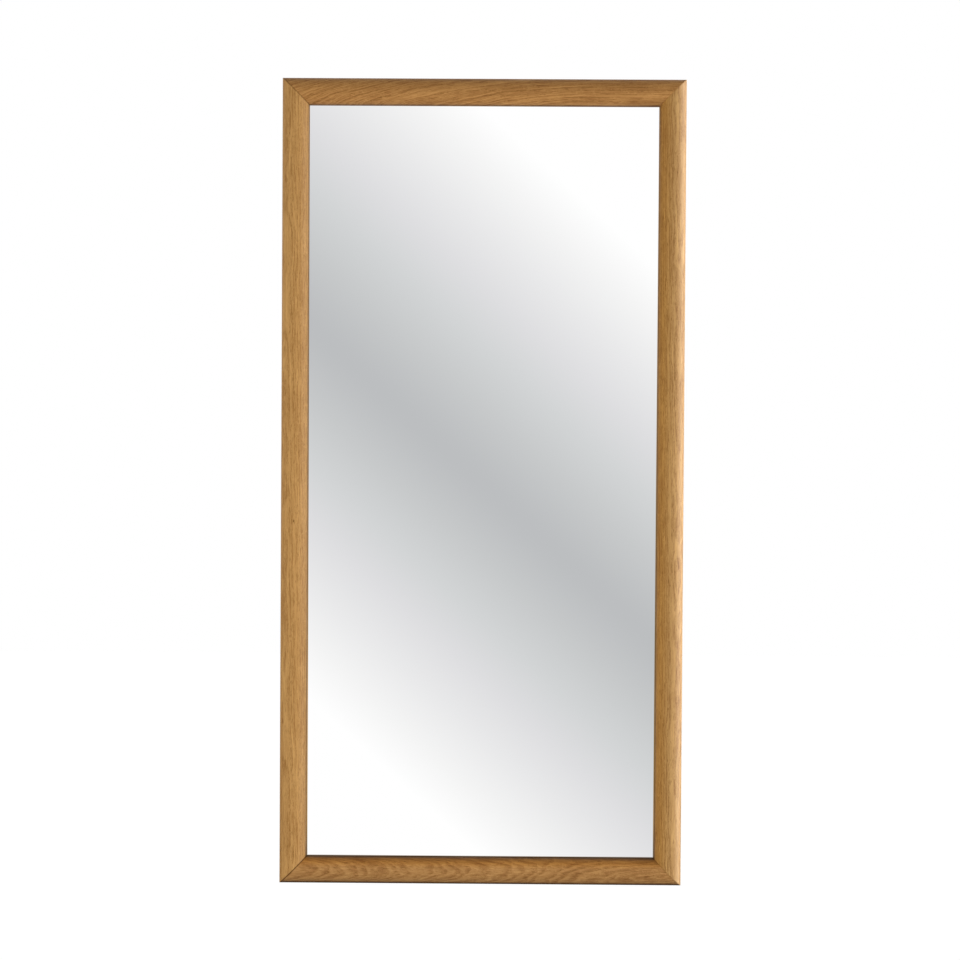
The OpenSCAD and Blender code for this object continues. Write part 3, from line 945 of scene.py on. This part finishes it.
def card_shade(tree, place):
    """The card's own grey at a place in the room. Its foot fades to white like the floor."""
    off_line = vectors(
        tree,
        "DOT_PRODUCT",
        vectors(tree, "SUBTRACT", place, dark_at),
        (math.sin(SHADE_SLANT), 0, math.cos(SHADE_SLANT)),
    )
    off_line = sums(tree, "DIVIDE", off_line, SHADE_HALF)
    off_line = sums(tree, "PINGPONG", off_line, SHADE_TURNS)
    off_line = sums(tree, "SQRT", sums(tree, "MULTIPLY_ADD", off_line, off_line, SHADE_SOFT**2))
    off_line = sums(tree, "SUBTRACT", off_line, SHADE_SOFT)
    off_line = sums(tree, "DIVIDE", off_line, RAMP_REACH)
    shade = put(tree, "ShaderNodeValToRGB", None, {0: off_line})
    ramp = shade.color_ramp
    for step in range(SHADE_STEPS + 1):
        share = step / SHADE_STEPS
        level = [round(low + (255 - low) * share) for low in SHADE_DARK]
        stop = ramp.elements[0] if step == 0 else ramp.elements.new(share / RAMP_REACH)
        stop.color = colour("#%02x%02x%02x" % tuple(level))
    ramp.elements[-1].color = WHITE
    up = axes(tree, place)[2]
    return blended(tree, fade(tree, up, CARD_FOOT, FLOOR_Z), shade.outputs[0], WHITE)


def glow(tree, shade, strength):
    """An emission."""
    return put(tree, "ShaderNodeEmission", None, {"Color": shade, "Strength": strength}).outputs[0]


def either(tree, share, first, second):
    """Two shaders mixed."""
    return put(tree, "ShaderNodeMixShader", None, {0: share, 1: first, 2: second}).outputs[0]


def rays(tree):
    """Which rays look here: the camera's, and those mirrored by metal or glass."""
    path = put(tree, "ShaderNodeLightPath").outputs
    mirrored = sums(tree, "MAXIMUM", path["Is Glossy Ray"], path["Is Transmission Ray"])
    return path["Is Camera Ray"], mirrored


def bare_material(name):
    """A material with nothing in it yet. Gives it and its tree."""
    made = bpy.data.materials.new(name)
    made.use_nodes = True
    made.node_tree.nodes.clear()
    return made, made.node_tree


# The floor is white far off and a little greyer under the mirror, and takes its shadow. In the
# glass and in metal it is white in front of the mirror and dark behind it.
bpy.ops.object.select_all(action="DESELECT")
bpy.ops.mesh.primitive_plane_add(size=FLOOR_SIZE, location=(0, 0, FLOOR_Z))
floor = bpy.context.object
floor.name = "floor"
bpy.ops.object.transform_apply(location=True, rotation=True, scale=True)
floor_paint, floor_tree = bare_material("floor_paint")
on_floor = object_place(floor_tree)
by_camera, mirrored = rays(floor_tree)
far_off = vectors(floor_tree, "LENGTH", vectors(floor_tree, "MULTIPLY", on_floor, (1, 1, 0)))
behind = fade(floor_tree, axes(floor_tree, on_floor)[1], 0, 0.5)
glint = blended(floor_tree, behind, WHITE, DARK_GLINT)
matt = put(floor_tree, "ShaderNodeBsdfDiffuse", None, {"Color": FLOOR_GREY}).outputs[0]
pale = glow(floor_tree, WHITE, fade(floor_tree, far_off, *GLOW_SPREAD, FLOOR_GLOW, 1.0))
pale = put(floor_tree, "ShaderNodeAddShader", None, {0: matt, 1: pale}).outputs[0]
shown = either(floor_tree, by_camera, matt, pale)
shown = either(floor_tree, mirrored, shown, glow(floor_tree, glint, 1 / SILVER))
clear = put(floor_tree, "ShaderNodeBsdfTransparent").outputs[0]
below = put(floor_tree, "ShaderNodeNewGeometry").outputs["Backfacing"]
shown = either(floor_tree, below, shown, clear)
put(floor_tree, "ShaderNodeOutputMaterial", None, {"Surface": shown})
floor.data.materials.append(floor_paint)

# The card is shaded where it is mirrored, and white wherever the camera itself would see it
bpy.ops.object.select_all(action="DESELECT")
bpy.ops.mesh.primitive_plane_add(
    size=1, location=(0, CARD_Y, FLOOR_Z + CARD_H / 2), rotation=(math.pi / 2, 0, math.pi)
)
card = bpy.context.object
card.name = "card"
card.scale = (CARD_W, CARD_H, 1)
bpy.ops.object.transform_apply(location=True, rotation=True, scale=True)
card_paint, card_tree = bare_material("card_paint")
by_camera, mirrored = rays(card_tree)
dim = glow(card_tree, WHITE, AMBIENT)
grey = glow(card_tree, card_shade(card_tree, object_place(card_tree)), 1 / SILVER)
shown = either(card_tree, mirrored, dim, grey)
shown = either(card_tree, by_camera, shown, glow(card_tree, WHITE, 1.0))
put(card_tree, "ShaderNodeOutputMaterial", None, {"Surface": shown})
card.data.materials.append(card_paint)

# The room is white to the eye and in the glass, and lights the mirror only faintly
room = bpy.context.scene.world or bpy.data.worlds.new("room")
bpy.context.scene.world = room
room.use_nodes = True
room_tree = room.node_tree
room_tree.nodes.clear()
by_camera, mirrored = rays(room_tree)
seen = sums(room_tree, "MAXIMUM", by_camera, mirrored)
strength = put(room_tree, "ShaderNodeMapRange", None, {0: seen, 3: AMBIENT, 4: 1.0}).outputs[0]
sky = put(room_tree, "ShaderNodeBackground", None, {"Color": WHITE, "Strength": strength})
put(room_tree, "ShaderNodeOutputWorld", None, {"Surface": sky.outputs[0]})


def lamp(name, place, aim, width, height, power, mirrored=False):
    """A soft rectangular lamp that faces a point."""
    bpy.ops.object.light_add(type="AREA", location=place)
    made = bpy.context.object
    made.name = name
    made.data.shape = "RECTANGLE"
    made.data.size = width
    made.data.size_y = height
    made.data.energy = power
    made.rotation_euler = (Vector(aim) - Vector(place)).to_track_quat("-Z", "Y").to_euler()
    made.visible_camera = False
    made.visible_glossy = mirrored
    return made


# The panels beside the right stile are also mirrored, which puts the shine on its lacquer.
# side_shine gives that shine alone
AT_MIDDLE = (0, 0, 0)
AT_RIGHT = (0.3, 0, 0)
AT_LEFT = (-0.3, 0, 0)
lamp("front_low", (0.3, -3.4, -0.5), (0, 0, -0.2), 1.2, 1.2, power=32)
lamp("front_left", (-2.2, -2.6, -0.3), AT_MIDDLE, 1.2, 1.2, power=62)
lamp("front_right", (2.2, -2.6, -0.3), AT_MIDDLE, 1.2, 1.2, power=18)
lamp("side_panel", (2.0, 0.15, 0.1), AT_RIGHT, 1.2, 2.6, power=42, mirrored=True)
side_shine = lamp("side_shine", (2.0, 0.25, 0.1), AT_RIGHT, 1.4, 2.6, power=105, mirrored=True)
side_shine.visible_diffuse = False
lamp("side_front", (2.2, -0.9, 0.1), AT_RIGHT, 1.2, 2.6, power=33, mirrored=True)
lamp("side_left", (-2.0, 0, 0.1), AT_LEFT, 1.2, 2.6, power=10)
lamp("top_lamp", (0, 0.5, 2.2), (0, 0, 0.6), 1.6, 0.8, power=6)
lamp("back_lamp", (0.6, 3.2, 0.9), AT_MIDDLE, 2.0, 2.0, power=110)
